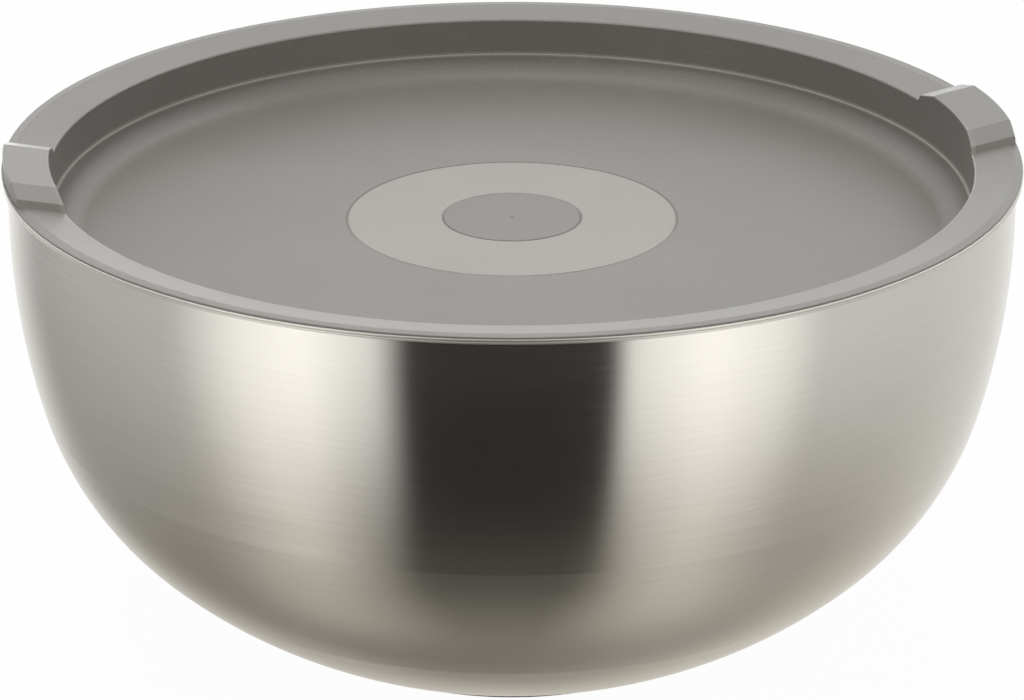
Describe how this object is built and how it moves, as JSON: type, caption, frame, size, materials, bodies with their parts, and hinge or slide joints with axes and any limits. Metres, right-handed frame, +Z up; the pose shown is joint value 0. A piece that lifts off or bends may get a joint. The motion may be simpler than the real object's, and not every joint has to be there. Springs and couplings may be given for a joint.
{
  "type": "insulated bowl with lid",
  "caption": "Double-walled stainless steel serving bowl with a rounded body, a low non-slip foot and a recessed moulded lid that lifts off.",
  "frame": {"origin": "on the bowl's axis, at the underside of the foot ring", "axes": "+Z up along the bowl's axis; +X through the middle of one grip tab of the lid"},
  "size_m": [0.2818, 0.2818, 0.1439],
  "materials": {
    "outer_shell": "brushed around the bowl, satin",
    "inner_shell": "fine satin, turned",
    "base_cap": "pressed sheet, satin",
    "foot_ring": "matt, dark grey",
    "vent_plug": "matt",
    "lid": "satin grey moulding with a fine texture",
    "lid_seal": "matt, translucent grey"
  },
  "bodies": {
    "bowl": {"outer_shell": "outer_shell", "inner_shell": "inner_shell", "base_cap": "base_cap", "foot_ring": "foot_ring", "vent_plug": "vent_plug"},
    "lid": {"lid": "lid", "lid_seal": "lid_seal"}
  },
  "joints": [
    {"name": "lid_lift", "type": "slide", "parent": "bowl", "child": "lid", "axis": [0, 0, 1], "range_m": [0, 0.1]}
  ]
}
